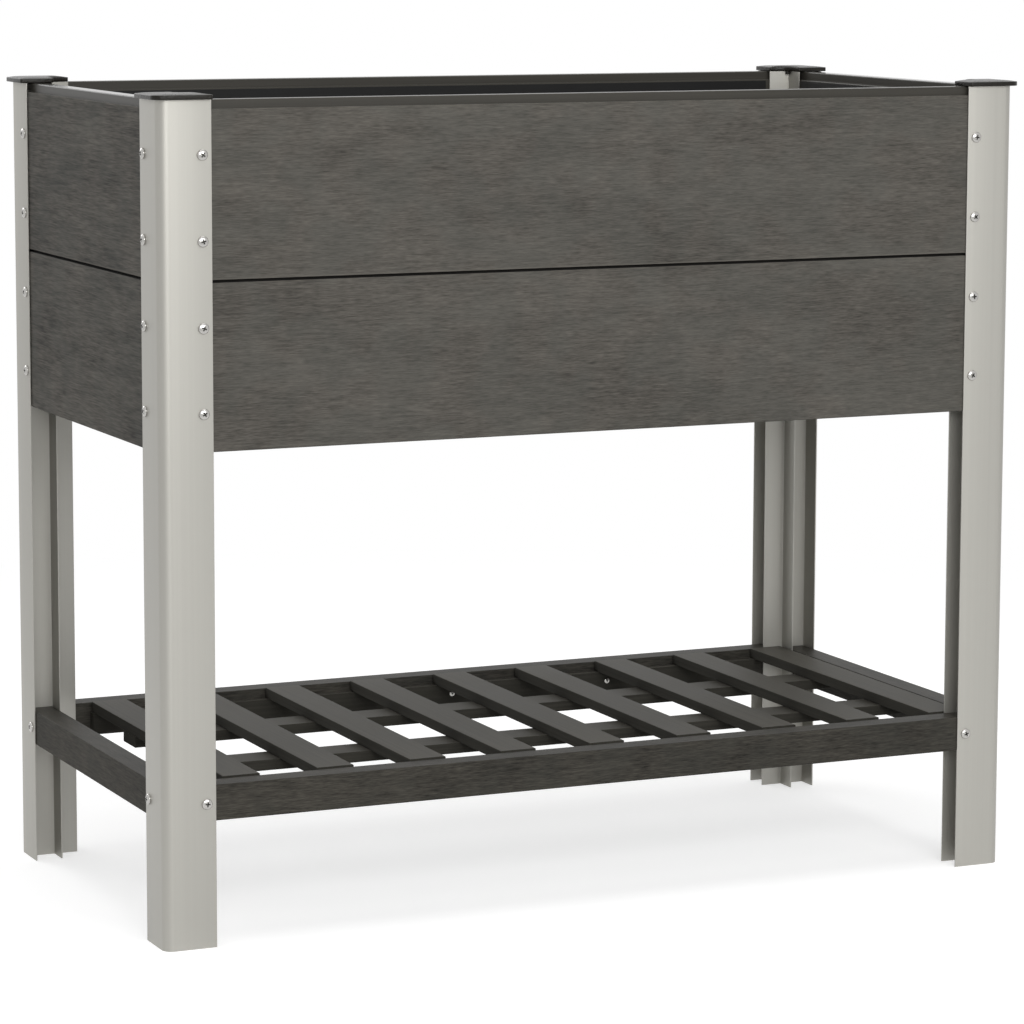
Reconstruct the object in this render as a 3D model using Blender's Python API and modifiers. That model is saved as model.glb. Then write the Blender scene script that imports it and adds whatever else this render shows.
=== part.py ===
"""Raised planter on four slotted legs, with a slatted shelf below.

Metres, +Z up. The origin is on the floor, at the centre of the four legs. X runs along the planter,
Y from front to back. Every piece is its own closed object in the collection "raised_planter".
"""

from math import cos, pi, radians, sin

import bmesh
import bpy
from mathutils import Euler, Matrix, Vector

# Overall sizes, over the legs' outer faces
LENGTH = 1.000
DEPTH = 0.500
LEG_HEIGHT = 0.880

# Clearances
SEAT_GAP = 0.0003  # between pieces that rest on each other
SLOT_PLAY = 0.0005  # on each side of a board inside a leg's slot
TONGUE_PLAY = 0.0004  # on each side of a tongue inside a groove
HOLE_PLAY = 0.0003  # round a screw's shank
END_PLAY = 0.0010  # at the end of a board

# Leg: an extrusion with two outer flanges, and two fins that cross behind them
BOARD_THICKNESS = 0.0275
FLANGE = 0.0572
FLANGE_WALL = 0.0015
FIN_WALL = 0.0014
CORNER_RADIUS = 0.0110
CORNER_STEPS = 8
FIN_NEAR = FLANGE_WALL + BOARD_THICKNESS + 2 * SLOT_PLAY
FIN_FAR = FIN_NEAR + FIN_WALL

# Cap: a crowned plate over the leg's section, a hollow plug in the leg's square tube and a tab behind
# the fins' crossing. The plate leaves the corner between the fins open.
CAP_OVERHANG = 0.0060
CAP_INNER_OVERHANG = 0.0006
CAP_THICKNESS = 0.0048
CAP_CROWN = 0.0014
CAP_CORNER = 0.0120
CAP_END_CORNER = 0.0020
CAP_CHAMFER = 0.0090
PLUG_PLAY = 0.0004
PLUG_WALL = 0.0016
PLUG_DEPTH = 0.0100
TAB_WIDTH = 0.0045
TAB_DEPTH = 0.0035
JOIN_DEPTH = 0.0010

# Wall planks, hollow, with a tongue on top and a groove below
PLANK_ROWS = 2
PLANK_FACE = 0.1742
PLANK_GAP = 0.0025
TONGUE_HEIGHT = 0.0094
TONGUE_BELOW_LEG = 0.0002
TONGUE_THICKNESS = 0.0178
GROOVE_SPARE = 0.0015
BOARD_EDGE = 0.0010
PLANK_WALL = 0.0050
WEB = 0.0120

# Shelf: four rails in the legs' slots, and a loose slatted panel on two ledges
RAIL_BOTTOM = 0.1340
RAIL_HEIGHT = 0.0380
RAIL_WALL = 0.0060
SLAT_COUNT = 9
SLAT_WIDTH = 0.0415
SLAT_THICKNESS = 0.0120
SLAT_PROUD = 0.0015
BATTEN_FROM_END = 0.1334
PANEL_RIGHT_GAP = 0.0030
PANEL_LEFT_GAP = 0.0447
LEDGE_THICKNESS = 0.0120
LEDGE_HEIGHT = 0.0220
LEDGE_FROM_LEG = 0.0178

# Floor of the planter, and the liner sheets on its walls, which end short of the legs' fins
FLOOR_THICKNESS = 0.0120
FLOOR_ABOVE_BOTTOM = 0.0400
LINER_THICKNESS = 0.0016
LINER_BELOW_SHOULDER = 0.0015
LINER_FROM_LEG = 0.0055
DRAIN_RADIUS = 0.0080
DRAIN_COLUMNS = 4
DRAIN_ROWS = 2
DRAIN_SIDES = 16

# Screws
SCREW_FROM_EDGE = 0.0102
SCREW_FROM_BOTTOM = 0.0400
SCREW_FROM_TOP = 0.0462
HEAD_RADIUS = 0.0058
HEAD_HEIGHT = 0.0032
HEAD_EDGE = 0.0008
DOME_STEPS = 4
SHANK_RADIUS = 0.0021
SHANK_LENGTH = 0.0200
TIP_LENGTH = 0.0040
SCREW_SIDES = 16
HOLE_SIDES = 12
HOLE_SPARE = 0.0010

# Places worked out from the sizes above
BOARD_BACK = FLANGE_WALL + SLOT_PLAY + BOARD_THICKNESS
BOARD_MIDDLE = BOARD_BACK - BOARD_THICKNESS / 2
INNER_X = LENGTH / 2 - BOARD_BACK
INNER_Y = DEPTH / 2 - BOARD_BACK
PLANK_PITCH = PLANK_FACE + PLANK_GAP
SHOULDER_TOP = LEG_HEIGHT - TONGUE_BELOW_LEG - TONGUE_HEIGHT
BOX_BOTTOM = SHOULDER_TOP - PLANK_FACE - (PLANK_ROWS - 1) * PLANK_PITCH
SLAT_TOP = RAIL_BOTTOM + RAIL_HEIGHT + SLAT_PROUD
SLAT_BOTTOM = SLAT_TOP - SLAT_THICKNESS
BETWEEN_FINS_X = LENGTH / 2 - FIN_FAR - END_PLAY
BETWEEN_FINS_Y = DEPTH / 2 - FIN_FAR - END_PLAY
PANEL_LEFT = -LENGTH / 2 + FIN_FAR + PANEL_LEFT_GAP
PANEL_RIGHT = LENGTH / 2 - FIN_FAR - PANEL_RIGHT_GAP
PANEL_LENGTH = PANEL_RIGHT - PANEL_LEFT
SLAT_PITCH = (PANEL_LENGTH - SLAT_WIDTH) / (SLAT_COUNT - 1)
LEDGE_LENGTH = LENGTH - 2 * (FLANGE + LEDGE_FROM_LEG)
FLOOR_TOP = BOX_BOTTOM + FLOOR_ABOVE_BOTTOM
SCREW_FROM_CORNER = FLANGE - SCREW_FROM_EDGE
PLANK_SCREWS = (SCREW_FROM_BOTTOM, PLANK_FACE - SCREW_FROM_TOP)
SCREW_HEIGHTS = [RAIL_BOTTOM + RAIL_HEIGHT / 2] + [
    BOX_BOTTOM + row * PLANK_PITCH + height for row in range(PLANK_ROWS) for height in PLANK_SCREWS
]

# Rotations that lay an outline's X across, its Y up and its own Z along the axis named
ALONG_X = (pi / 2, 0, pi / 2)
ALONG_Y = (pi / 2, 0, 0)
UPRIGHT = (0, 0, 0)

# Each leg's corner, as signs of X and Y, and the turn about Z that brings the first leg to it
LEGS = {
    "front_left": (-1, -1, 0),
    "front_right": (1, -1, pi / 2),
    "back_right": (1, 1, pi),
    "back_left": (-1, 1, -pi / 2),
}


def clear_scene():
    """Remove every object that the scene starts with."""
    for obj in list(bpy.data.objects):
        bpy.data.objects.remove(obj, do_unlink=True)


def new_collection(name):
    """Make a collection in the scene."""
    collection = bpy.data.collections.new(name)
    bpy.context.scene.collection.children.link(collection)
    return collection


def new_material(name, colour, roughness, metallic=0.0):
    """Make a Principled BSDF material."""
    material = bpy.data.materials.new(name)
    material.use_nodes = True
    shader = material.node_tree.nodes["Principled BSDF"]
    shader.inputs["Base Color"].default_value = (*colour, 1.0)
    shader.inputs["Roughness"].default_value = roughness
    shader.inputs["Metallic"].default_value = metallic
    return material


def place(name, mesh, material, location=(0, 0, 0), rotation=UPRIGHT):
    """Put a mesh in the planter's collection as a named piece."""
    piece = bpy.data.objects.new(name, mesh)
    piece.location = location
    piece.rotation_euler = rotation
    if not mesh.materials:
        mesh.materials.append(material)
    bpy.data.collections["raised_planter"].objects.link(piece)
    return piece


def place_cutter(name, mesh, location=(0, 0, 0), rotation=UPRIGHT):
    """Put a mesh among the cutters, out of the render."""
    cutter = bpy.data.objects.new(name, mesh)
    cutter.location = location
    cutter.rotation_euler = rotation
    cutter.hide_render = True
    cutter.display_type = "WIRE"
    bpy.data.collections["cutters"].objects.link(cutter)
    return cutter


def combine(piece, tool, operation):
    """Cut a piece with a tool, or join the tool to it."""
    boolean = piece.modifiers.new(tool.name, "BOOLEAN")
    boolean.operation = operation
    boolean.object = tool


def arc(centre, radius, start, end, steps):
    """Points along an arc between two angles in degrees."""
    angles = [radians(start + (end - start) * step / steps) for step in range(steps + 1)]
    return [(centre[0] + radius * cos(a), centre[1] + radius * sin(a)) for a in angles]


def rectangle(left, bottom, right, top):
    """A rectangle's corners."""
    return [(left, bottom), (right, bottom), (right, top), (left, top)]


def rounded_rectangle(left, bottom, right, top, radius, steps=2):
    """A rectangle with its corners rounded."""
    x0, y0, x1, y1 = left + radius, bottom + radius, right - radius, top - radius
    corners = (((x1, y1), 0), ((x0, y1), 90), ((x0, y0), 180), ((x1, y0), 270))
    return [p for centre, start in corners for p in arc(centre, radius, start, start + 90, steps)]


def extrude(name, loops, length):
    """A closed mesh: a flat outline, with further outlines as holes, extruded about its own plane."""
    outline = bpy.data.curves.new(name, "CURVE")
    outline.dimensions = "2D"
    outline.fill_mode = "BOTH"
    outline.extrude = length / 2
    for loop in loops:
        spline = outline.splines.new("POLY")
        spline.points.add(len(loop) - 1)
        spline.use_cyclic_u = True
        for point, (x, y) in zip(spline.points, loop):
            point.co = (x, y, 0, 1)
    guide = bpy.data.objects.new(name, outline)
    return evaluated_mesh(guide, name)


def evaluated_mesh(guide, name):
    """A guide's shape as a welded mesh, with no slivers on its flat ends. The guide is removed."""
    bpy.context.scene.collection.objects.link(guide)
    bpy.context.view_layer.update()
    graph = bpy.context.evaluated_depsgraph_get()
    mesh = bpy.data.meshes.new_from_object(guide.evaluated_get(graph))
    mesh.name = name
    bpy.data.objects.remove(guide, do_unlink=True)
    edit = bmesh.new()
    edit.from_mesh(mesh)
    bmesh.ops.remove_doubles(edit, verts=edit.verts, dist=0.000001)
    flat = [f for f in edit.faces if len({round(v.co.z, 6) for v in f.verts}) == 1]
    inner = {e for f in flat for e in f.edges if all(side in flat for side in e.link_faces)}
    bmesh.ops.beautify_fill(edit, faces=flat, edges=list(inner), method="ANGLE")
    bmesh.ops.recalc_face_normals(edit, faces=edit.faces)
    edit.to_mesh(mesh)
    edit.free()
    return mesh


def smooth(mesh, angle=40):
    """Shade a mesh smooth, with its corners left sharp."""
    mesh.shade_smooth()
    mesh.set_sharp_from_angle(angle=radians(angle))


def box_mesh(name, low, high):
    """A box between two corners."""
    edit = bmesh.new()
    bmesh.ops.create_cube(edit, size=1)
    low, high = Vector(low), Vector(high)
    bmesh.ops.scale(edit, vec=high - low, verts=edit.verts)
    bmesh.ops.translate(edit, vec=(low + high) / 2, verts=edit.verts)
    mesh = bpy.data.meshes.new(name)
    edit.to_mesh(mesh)
    edit.free()
    return mesh


def cylinders_mesh(name, radius, length, sides, matrices):
    """Separate cylinders in one mesh, each about its own matrix's Z."""
    edit = bmesh.new()
    for matrix in matrices:
        bmesh.ops.create_cone(
            edit,
            cap_ends=True,
            segments=sides,
            radius1=radius,
            radius2=radius,
            depth=length,
            matrix=matrix,
        )
    mesh = bpy.data.meshes.new(name)
    edit.to_mesh(mesh)
    edit.free()
    return mesh


def screw_places():
    """(leg, face, number, point on the flange, outward rotation) of every screw."""
    places = []
    for leg, (sx, sy, _) in LEGS.items():
        along_x = sx * (LENGTH / 2 - SCREW_FROM_CORNER)
        along_y = sy * (DEPTH / 2 - SCREW_FROM_CORNER)
        for number, height in enumerate(SCREW_HEIGHTS, 1):
            long_side = (along_x, sy * DEPTH / 2, height)
            short_side = (sx * LENGTH / 2, along_y, height)
            places.append((leg, "long_side", number, long_side, (-sy * pi / 2, 0, 0)))
            places.append((leg, "short_side", number, short_side, (0, sx * pi / 2, 0)))
    return places


def build_hole_cutter():
    """One cutter with the hole of every screw, through the flange and into the board behind it."""
    outside = 2 * HEAD_HEIGHT
    length = SHANK_LENGTH + HOLE_SPARE + outside
    matrices = [
        Matrix.Translation(point)
        @ Euler(turn).to_matrix().to_4x4()
        @ Matrix.Translation((0, 0, outside - length / 2))
        for _, _, _, point, turn in screw_places()
    ]
    radius = SHANK_RADIUS + HOLE_PLAY
    mesh = cylinders_mesh("screw_holes", radius, length, HOLE_SIDES, matrices)
    return place_cutter("screw_holes", mesh)


def build_screws(steel):
    """The screws of the long sides. Those of the short sides are the same and leave their holes open."""
    dome = [
        (HEAD_RADIUS * sin(a), HEAD_EDGE + (HEAD_HEIGHT - HEAD_EDGE) * cos(a))
        for a in [pi / 2 * step / DOME_STEPS for step in range(DOME_STEPS + 1)]
    ]
    profile = dome + [
        (HEAD_RADIUS, SEAT_GAP),
        (SHANK_RADIUS, SEAT_GAP),
        (SHANK_RADIUS, TIP_LENGTH - SHANK_LENGTH),
        (0, -SHANK_LENGTH),
    ]
    line = bpy.data.meshes.new("screw_profile")
    edges = [(i, i + 1) for i in range(len(profile) - 1)]
    line.from_pydata([(x, 0, z) for x, z in profile], edges, [])
    guide = bpy.data.objects.new("screw_profile", line)
    turned = guide.modifiers.new("turn", "SCREW")
    turned.steps = SCREW_SIDES
    turned.render_steps = SCREW_SIDES
    turned.use_merge_vertices = True
    turned.merge_threshold = 0.00001
    mesh = evaluated_mesh(guide, "pan_head_screw")
    smooth(mesh)
    for leg, face, number, point, turn in screw_places():
        if face == "long_side":
            place(f"screw_{leg}_{number}", mesh, steel, point, turn)


def leg_outline():
    """The leg's section: outer outline and the square tube's hollow, from its corner at the origin."""
    corner = arc((CORNER_RADIUS, CORNER_RADIUS), CORNER_RADIUS, 270, 180, CORNER_STEPS)
    inner = CORNER_RADIUS - FLANGE_WALL
    hollow = arc((CORNER_RADIUS, CORNER_RADIUS), inner, 270, 180, CORNER_STEPS)
    outside = [
        (FLANGE, 0),
        *corner,
        (0, FLANGE),
        (FLANGE_WALL, FLANGE),
        (FLANGE_WALL, FIN_FAR),
        (FIN_NEAR, FIN_FAR),
        (FIN_NEAR, FLANGE),
        (FIN_FAR, FLANGE),
        (FIN_FAR, FIN_FAR),
        (FLANGE, FIN_FAR),
        (FLANGE, FIN_NEAR),
        (FIN_FAR, FIN_NEAR),
        (FIN_FAR, FLANGE_WALL),
        (FLANGE, FLANGE_WALL),
    ]
    tube = [*hollow, (FLANGE_WALL, FIN_NEAR), (FIN_NEAR, FIN_NEAR), (FIN_NEAR, FLANGE_WALL)]
    return [outside, tube]


def build_legs(aluminium, holes):
    """The four legs: one extrusion, turned to each corner and drilled."""
    mesh = extrude("leg", leg_outline(), LEG_HEIGHT)
    smooth(mesh, angle=20)
    for name, (sx, sy, turn) in LEGS.items():
        corner = (sx * LENGTH / 2, sy * DEPTH / 2, LEG_HEIGHT / 2)
        leg = place(f"leg_{name}", mesh, aluminium, corner, (0, 0, turn))
        combine(leg, holes, "DIFFERENCE")


def cap_outline():
    """The cap's plate: it follows the leg's section, with a chamfer over the tab."""
    low, high, inner = -CAP_OVERHANG, FLANGE, FIN_FAR + CAP_INNER_OVERHANG
    end = CAP_END_CORNER
    return [
        *arc((low + CAP_CORNER, low + CAP_CORNER), CAP_CORNER, 180, 270, 6),
        *arc((high - end, low + end), end, 270, 360, 2),
        *arc((high - end, inner - end), end, 0, 90, 2),
        (inner + CAP_CHAMFER, inner),
        (inner, inner + CAP_CHAMFER),
        *arc((inner - end, high - end), end, 0, 90, 2),
        *arc((low + end, high - end), end, 90, 180, 2),
    ]


def crowned_plate(name, outline, bottom, thickness, crown):
    """A closed plate of an outline. Its top rises to the middle of the outline."""
    middle = (min(x for x, _ in outline) + max(x for x, _ in outline)) / 2
    edit = bmesh.new()
    rings = [
        [
            edit.verts.new((middle + (x - middle) * share, middle + (y - middle) * share, height))
            for x, y in outline
        ]
        for share, height in (
            (1, bottom),
            (1, bottom + thickness),
            (0.5, bottom + thickness + 0.75 * crown),
        )
    ]
    peak = edit.verts.new((middle, middle, bottom + thickness + crown))
    edit.faces.new(rings[0])
    for here in range(len(outline)):
        there = (here + 1) % len(outline)
        for low, high in zip(rings, rings[1:]):
            edit.faces.new((low[here], low[there], high[there], high[here]))
        edit.faces.new((rings[-1][here], rings[-1][there], peak))
    bmesh.ops.recalc_face_normals(edit, faces=edit.faces)
    mesh = bpy.data.meshes.new(name)
    edit.to_mesh(mesh)
    edit.free()
    return mesh


def cap_mesh():
    """A cap: crowned plate, hollow plug and tab in one piece, from the leg's corner at its top."""
    plate = crowned_plate("cap", cap_outline(), SEAT_GAP, CAP_THICKNESS, CAP_CROWN)
    near, far = FLANGE_WALL + PLUG_PLAY, FIN_NEAR - PLUG_PLAY
    centre = (CORNER_RADIUS, CORNER_RADIUS)
    radius = CORNER_RADIUS - near
    outside = [*arc(centre, radius, 270, 180, 3), (near, far), (far, far), (far, near)]
    near, far = near + PLUG_WALL, far - PLUG_WALL
    radius -= PLUG_WALL
    inside = [*arc(centre, radius, 270, 180, 3), (near, far), (far, far), (far, near)]
    plug = extrude("cap_plug", [outside, inside], PLUG_DEPTH + JOIN_DEPTH)
    start = FIN_FAR + PLUG_PLAY
    tab_top = SEAT_GAP + JOIN_DEPTH
    tab_low = (start, start, -TAB_DEPTH)
    tab = box_mesh("cap_tab", tab_low, (start + TAB_WIDTH, start + TAB_WIDTH, tab_top))

    guide = bpy.data.objects.new("cap_guide", plate)
    plug_height = SEAT_GAP + JOIN_DEPTH - (PLUG_DEPTH + JOIN_DEPTH) / 2
    combine(guide, place_cutter("cap_plug", plug, (0, 0, plug_height)), "UNION")
    combine(guide, place_cutter("cap_tab", tab), "UNION")
    return evaluated_mesh(guide, "cap")


def build_caps(plastic):
    """A cap on each leg."""
    mesh = cap_mesh()
    for name, (sx, sy, turn) in LEGS.items():
        top = (sx * LENGTH / 2, sy * DEPTH / 2, LEG_HEIGHT)
        place(f"cap_{name}", mesh, plastic, top, (0, 0, turn))


def plank_outline():
    """A wall plank's section and its chambers. A web stands where each screw bites."""
    half, tongue = BOARD_THICKNESS / 2, TONGUE_THICKNESS / 2
    groove = tongue + TONGUE_PLAY
    depth = TONGUE_HEIGHT - PLANK_GAP + GROOVE_SPARE
    edge = BOARD_EDGE
    right = [
        (groove, depth),
        (groove, 0),
        *arc((half - edge, edge), edge, -90, 0, 2),
        *arc((half - edge, PLANK_FACE - edge), edge, 0, 90, 2),
        (tongue, PLANK_FACE),
        *arc((tongue - edge, PLANK_FACE + TONGUE_HEIGHT - edge), edge, 0, 90, 2),
    ]
    left = [(-x, y) for x, y in reversed(right)]
    low, high = PLANK_SCREWS
    webs = (low, (low + high) / 2, high)
    starts = [depth + PLANK_WALL] + [web + WEB / 2 for web in webs]
    ends = [web - WEB / 2 for web in webs] + [PLANK_FACE - PLANK_WALL]
    hollow = half - PLANK_WALL
    chambers = [rectangle(-hollow, start, hollow, end) for start, end in zip(starts, ends)]
    return [right + left, *chambers]


def rail_outline():
    """A shelf rail's section and its two chambers, with a web where its screw bites."""
    half = BOARD_THICKNESS / 2
    hollow = half - RAIL_WALL
    middle = RAIL_HEIGHT / 2
    return [
        rounded_rectangle(-half, 0, half, RAIL_HEIGHT, BOARD_EDGE),
        rectangle(-hollow, RAIL_WALL, hollow, middle - WEB / 2),
        rectangle(-hollow, middle + WEB / 2, hollow, RAIL_HEIGHT - RAIL_WALL),
    ]


def build_ring(name, outline, bottom, material, holes):
    """Four boards of one section between the legs: front, back, left and right."""
    between = FIN_FAR + END_PLAY
    long_mesh = extrude(f"{name}_long", outline, LENGTH - 2 * between)
    short_mesh = extrude(f"{name}_short", outline, DEPTH - 2 * between)
    x, y = LENGTH / 2 - BOARD_MIDDLE, DEPTH / 2 - BOARD_MIDDLE
    sides = {
        "front": (long_mesh, (0, -y, bottom), ALONG_X),
        "back": (long_mesh, (0, y, bottom), ALONG_X),
        "left": (short_mesh, (-x, 0, bottom), ALONG_Y),
        "right": (short_mesh, (x, 0, bottom), ALONG_Y),
    }
    for side, (mesh, location, rotation) in sides.items():
        board = place(f"{name}_{side}", mesh, material, location, rotation)
        combine(board, holes, "DIFFERENCE")


def build_ledges(name, top, material):
    """Two strips along the long sides' inner faces, which carry what lies across them."""
    height, thickness = LEDGE_HEIGHT, LEDGE_THICKNESS
    outline = rounded_rectangle(-thickness / 2, -height, thickness / 2, 0, BOARD_EDGE / 2)
    mesh = extrude(name, [outline], LEDGE_LENGTH)
    y = INNER_Y - SEAT_GAP - thickness / 2
    for side, sign in (("front", -1), ("back", 1)):
        place(f"{name}_{side}", mesh, material, (0, sign * y, top - SEAT_GAP), ALONG_X)


def build_shelf_panel(material):
    """Slats from front to back on two battens, pushed up to the right-hand side."""
    width, thickness = SLAT_WIDTH, SLAT_THICKNESS
    outline = rounded_rectangle(-width / 2, -thickness, width / 2, 0, BOARD_EDGE)
    slat = extrude("shelf_slat", [outline], 2 * BETWEEN_FINS_Y)
    batten = extrude("shelf_batten", [outline], PANEL_LENGTH)
    for number in range(SLAT_COUNT):
        x = PANEL_LEFT + width / 2 + number * SLAT_PITCH
        place(f"shelf_slat_{number + 1}", slat, material, (x, 0, SLAT_TOP), ALONG_Y)
    x, y = (PANEL_LEFT + PANEL_RIGHT) / 2, BETWEEN_FINS_Y - BATTEN_FROM_END
    for side, sign in (("front", -1), ("back", 1)):
        location = (x, sign * y, SLAT_BOTTOM - SEAT_GAP)
        place(f"shelf_batten_{side}", batten, material, location, ALONG_X)


def build_floor(material):
    """A panel with drain holes, which lies on the floor ledges between the legs' fins."""
    x, y = BETWEEN_FINS_X, BETWEEN_FINS_Y
    body = box_mesh("floor_panel", (-x, -y, -FLOOR_THICKNESS), (x, y, 0))
    floor = place("floor_panel", body, material, (0, 0, FLOOR_TOP))
    drains = [
        Matrix.Translation(
            (
                2 * x * ((column + 0.5) / DRAIN_COLUMNS - 0.5),
                2 * y * ((row + 0.5) / DRAIN_ROWS - 0.5),
                FLOOR_TOP,
            )
        )
        for column in range(DRAIN_COLUMNS)
        for row in range(DRAIN_ROWS)
    ]
    mesh = cylinders_mesh("floor_drains", DRAIN_RADIUS, 4 * FLOOR_THICKNESS, DRAIN_SIDES, drains)
    combine(floor, place_cutter("floor_drains", mesh), "DIFFERENCE")


def build_liner(plastic):
    """A thin sheet against each wall, from the floor ledges up to the planks' shoulder."""
    bottom, top = FLOOR_TOP - FLOOR_THICKNESS, SHOULDER_TOP - LINER_BELOW_SHOULDER
    thickness = LINER_THICKNESS
    x, y = INNER_X - SEAT_GAP - thickness / 2, INNER_Y - SEAT_GAP - thickness / 2
    end = FLANGE + LINER_FROM_LEG
    sides = {
        "front": (LENGTH / 2 - end, thickness / 2, (0, -y)),
        "back": (LENGTH / 2 - end, thickness / 2, (0, y)),
        "left": (thickness / 2, DEPTH / 2 - end, (-x, 0)),
        "right": (thickness / 2, DEPTH / 2 - end, (x, 0)),
    }
    for side, (half_x, half_y, centre) in sides.items():
        sheet = box_mesh(f"liner_{side}", (-half_x, -half_y, 0), (half_x, half_y, top - bottom))
        place(f"liner_{side}", sheet, plastic, (*centre, bottom))


def main():
    """Build the planter."""
    clear_scene()
    new_collection("raised_planter")
    new_collection("cutters")
    aluminium = new_material("satin_aluminium", (0.52, 0.52, 0.50), 0.42, 0.9)
    brushed = new_material("brushed_wood_composite", (0.098, 0.090, 0.080), 0.75)
    plain = new_material("smooth_wood_composite", (0.075, 0.076, 0.070), 0.55)
    plastic = new_material("black_plastic", (0.022, 0.022, 0.021), 0.45)
    film = new_material("black_liner", (0.014, 0.014, 0.014), 0.55)
    steel = new_material("stainless_steel", (0.62, 0.61, 0.59), 0.22, 1.0)

    holes = build_hole_cutter()
    build_legs(aluminium, holes)
    build_caps(plastic)
    for row in range(PLANK_ROWS):
        bottom = BOX_BOTTOM + row * PLANK_PITCH
        build_ring(f"plank_row_{row + 1}", plank_outline(), bottom, brushed, holes)
    build_ring("shelf_rail", rail_outline(), RAIL_BOTTOM, brushed, holes)
    build_ledges("shelf_ledge", SLAT_BOTTOM, plain)
    build_shelf_panel(plain)
    build_ledges("floor_ledge", FLOOR_TOP - FLOOR_THICKNESS, plain)
    build_floor(plain)
    build_liner(film)
    build_screws(steel)


main()
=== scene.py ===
"""A raised planter on four slotted legs, dressed and set in a studio.

Metres, +Z up. The origin is on the floor, midway between the legs. X runs along the planter, and Y from
front to back. Boards and sheets are the frame's own nodes with new finishes. Legs, caps and screws are
finer pieces that stand for the frame's nodes.
"""

import logging
from dataclasses import dataclass, field, replace
from enum import Enum
from math import atan2, cos, degrees, pi, radians, sin, sqrt
from typing import Any, Iterable, Sequence, Union

import bmesh
import bpy
from mathutils import Matrix, Vector

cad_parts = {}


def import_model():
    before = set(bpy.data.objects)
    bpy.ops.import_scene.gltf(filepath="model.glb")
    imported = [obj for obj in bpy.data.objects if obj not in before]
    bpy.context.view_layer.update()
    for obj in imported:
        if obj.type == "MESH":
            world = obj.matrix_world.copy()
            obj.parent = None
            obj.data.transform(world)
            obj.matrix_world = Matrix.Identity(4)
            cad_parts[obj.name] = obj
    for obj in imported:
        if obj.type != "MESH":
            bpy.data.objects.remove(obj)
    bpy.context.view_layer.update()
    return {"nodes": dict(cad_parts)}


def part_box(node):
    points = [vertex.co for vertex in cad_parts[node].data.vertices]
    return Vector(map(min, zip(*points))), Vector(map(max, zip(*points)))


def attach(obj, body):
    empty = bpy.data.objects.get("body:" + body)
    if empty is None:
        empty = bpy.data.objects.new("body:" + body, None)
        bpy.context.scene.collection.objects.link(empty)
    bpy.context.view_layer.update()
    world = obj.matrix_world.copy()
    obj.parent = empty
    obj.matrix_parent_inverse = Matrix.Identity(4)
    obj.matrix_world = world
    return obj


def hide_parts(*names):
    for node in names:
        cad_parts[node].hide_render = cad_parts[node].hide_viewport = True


LOG = logging.getLogger("planter")
BODY = "root"
MM = 0.001
WELD = 0.001 * MM
EASE_STEPS = 3  # straight stretches in an eased corner
EASE_SHARE = 0.48  # the most of a side that one eased corner takes
MIDDLE = 0.5  # the value that noise and tones vary about
LOOKING_RAYS = ("Is Camera Ray", "Is Glossy Ray", "Is Transmission Ray")
STARTUP_OBJECTS = ("Cube", "Light", "Camera")

Point = tuple[float, float]
Triple = tuple[float, float, float]
Colour = Triple
Operand = Union["Value", float, Sequence[float]]


class Slot(Enum):
    """Names for the material slots of new pieces. Nothing in this script assigns them."""

    ALUMINIUM = "satin_aluminium"
    CAP = "cap_plastic"
    STEEL = "screw_steel"


class Run(Enum):
    """The way a piece's grain runs, with the axis across a board's thickness."""

    ALONG_X = ("X", "Y")
    ALONG_Y = ("Y", "X")
    UPRIGHT = ("Z", "Y")

    @property
    def suffix(self) -> str:
        """The letter that ends the name of a material with this run."""
        return self.value[0].lower()

    @property
    def thickness_axis(self) -> str:
        """The axis across the board's thickness."""
        return self.value[1]

    def scale(self, along: float, across: float) -> Triple:
        """Work out a texture's scale.

        Args:
            along: repeats per metre along the grain.
            across: repeats per metre across it.

        Returns:
            The scale of X, Y and Z.
        """
        return tuple(along if axis == self.value[0] else across for axis in "XYZ")


class Corner(Enum):
    """A corner of the planter: its name, the signs of X and Y, and its turn from the front left."""

    FRONT_LEFT = ("front_left", -1, -1, 0.0)
    FRONT_RIGHT = ("front_right", 1, -1, pi / 2)
    BACK_RIGHT = ("back_right", 1, 1, pi)
    BACK_LEFT = ("back_left", -1, 1, -pi / 2)

    @property
    def label(self) -> str:
        """The corner's name in the frame's node names."""
        return self.value[0]

    def place(self, half_x: float, half_y: float, height: float) -> Matrix:
        """Work out where a piece drawn from the front left corner goes.

        Args:
            half_x: half the planter's length over the legs.
            half_y: half its depth over the legs.
            height: height of the piece's own zero.

        Returns:
            The piece's matrix.
        """
        _, sign_x, sign_y, turn = self.value
        corner = Matrix.Translation((sign_x * half_x, sign_y * half_y, height))
        return corner @ Matrix.Rotation(turn, 4, "Z")


# ---- shader maths


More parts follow.
